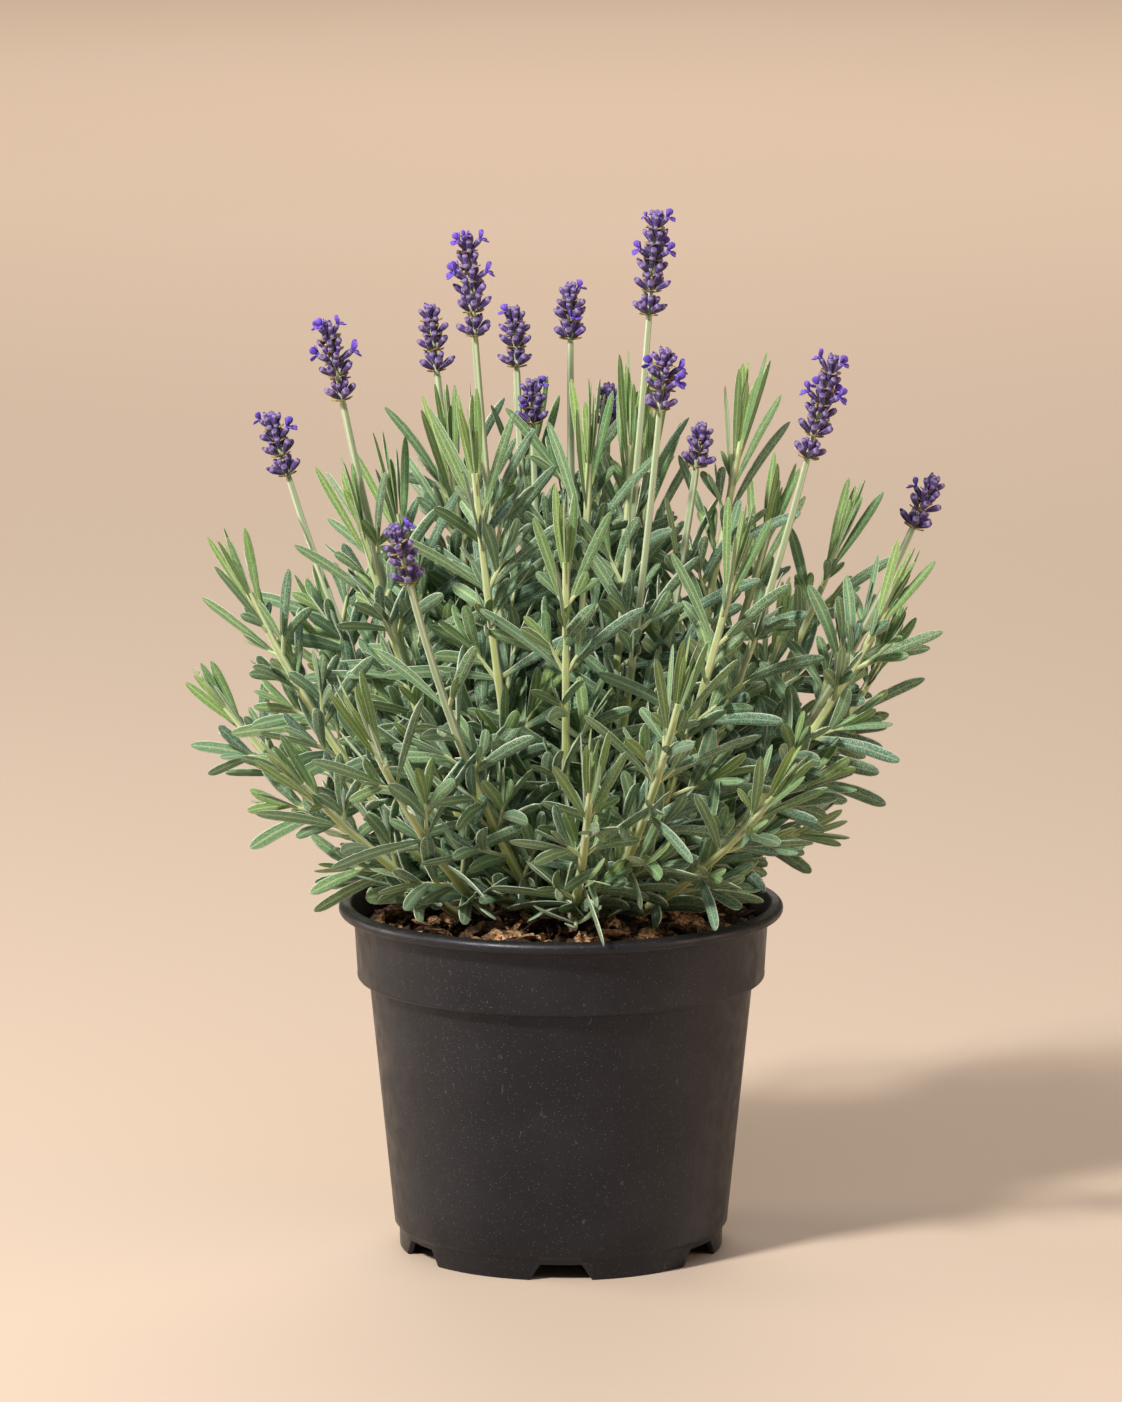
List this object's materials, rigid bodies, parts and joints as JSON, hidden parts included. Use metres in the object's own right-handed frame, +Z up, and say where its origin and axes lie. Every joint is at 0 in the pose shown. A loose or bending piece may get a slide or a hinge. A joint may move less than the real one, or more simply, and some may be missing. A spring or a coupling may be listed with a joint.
{
  "type": "potted lavender",
  "caption": "Bushy flowering lavender in a round dark plastic nursery pot with a rolled lip and a notched foot, stems standing in bark growing medium.",
  "frame": {"origin": "on the ground under the middle of the pot's foot", "axes": "+Z up along the plant and the pot's axis; -Y towards the front of the bush, where one leaning flower head stands; +X to the right seen from there"},
  "size_m": [0.3241, 0.2876, 0.4472],
  "materials": {
    "pot": "matte moulded polypropylene with a fine grain and pale dust specks",
    "growing_medium": "damp dark bark and peat, rough",
    "flowering_stem": "downy pale grey-green, square in section",
    "flower": "soft downy violet calyces with brighter corollas",
    "foliage": "downy grey-green leaves, paler underneath"
  },
  "bodies": {
    "root": {"pot": "pot", "growing_medium": "growing_medium", "flowering_stem_01": "flowering_stem", "flowering_stem_02": "flowering_stem", "flowering_stem_03": "flowering_stem", "flowering_stem_04": "flowering_stem", "flowering_stem_05": "flowering_stem", "flowering_stem_06": "flowering_stem", "flowering_stem_07": "flowering_stem", "flowering_stem_08": "flowering_stem", "flowering_stem_09": "flowering_stem", "flowering_stem_10": "flowering_stem", "flowering_stem_11": "flowering_stem", "flowering_stem_12": "flowering_stem", "flowering_stem_13": "flowering_stem", "flowering_stem_14": "flowering_stem", "flower_head_01": "flower", "flower_head_02": "flower", "flower_head_03": "flower", "flower_head_04": "flower", "flower_head_05": "flower", "flower_head_06": "flower", "flower_head_07": "flower", "flower_head_08": "flower", "flower_head_09": "flower", "flower_head_10": "flower", "flower_head_11": "flower", "flower_head_12": "flower", "flower_head_13": "flower", "flower_head_14": "flower", "leafy_shoot_01": "foliage", "leafy_shoot_02": "foliage", "leafy_shoot_03": "foliage", "leafy_shoot_04": "foliage", "leafy_shoot_05": "foliage", "leafy_shoot_06": "foliage", "leafy_shoot_07": "foliage", "leafy_shoot_08": "foliage", "leafy_shoot_09": "foliage", "leafy_shoot_10": "foliage", "leafy_shoot_11": "foliage", "leafy_shoot_12": "foliage", "leafy_shoot_13": "foliage", "leafy_shoot_14": "foliage", "leafy_shoot_15": "foliage", "leafy_shoot_16": "foliage", "leafy_shoot_17": "foliage", "leafy_shoot_18": "foliage", "leafy_shoot_19": "foliage", "leafy_shoot_20": "foliage", "leafy_shoot_21": "foliage", "leafy_shoot_22": "foliage", "leafy_shoot_23": "foliage", "leafy_shoot_24": "foliage", "leafy_shoot_25": "foliage", "leafy_shoot_26": "foliage", "leafy_shoot_27": "foliage", "leafy_shoot_28": "foliage", "leafy_shoot_29": "foliage", "leafy_shoot_30": "foliage"}
  },
  "joints": []
}
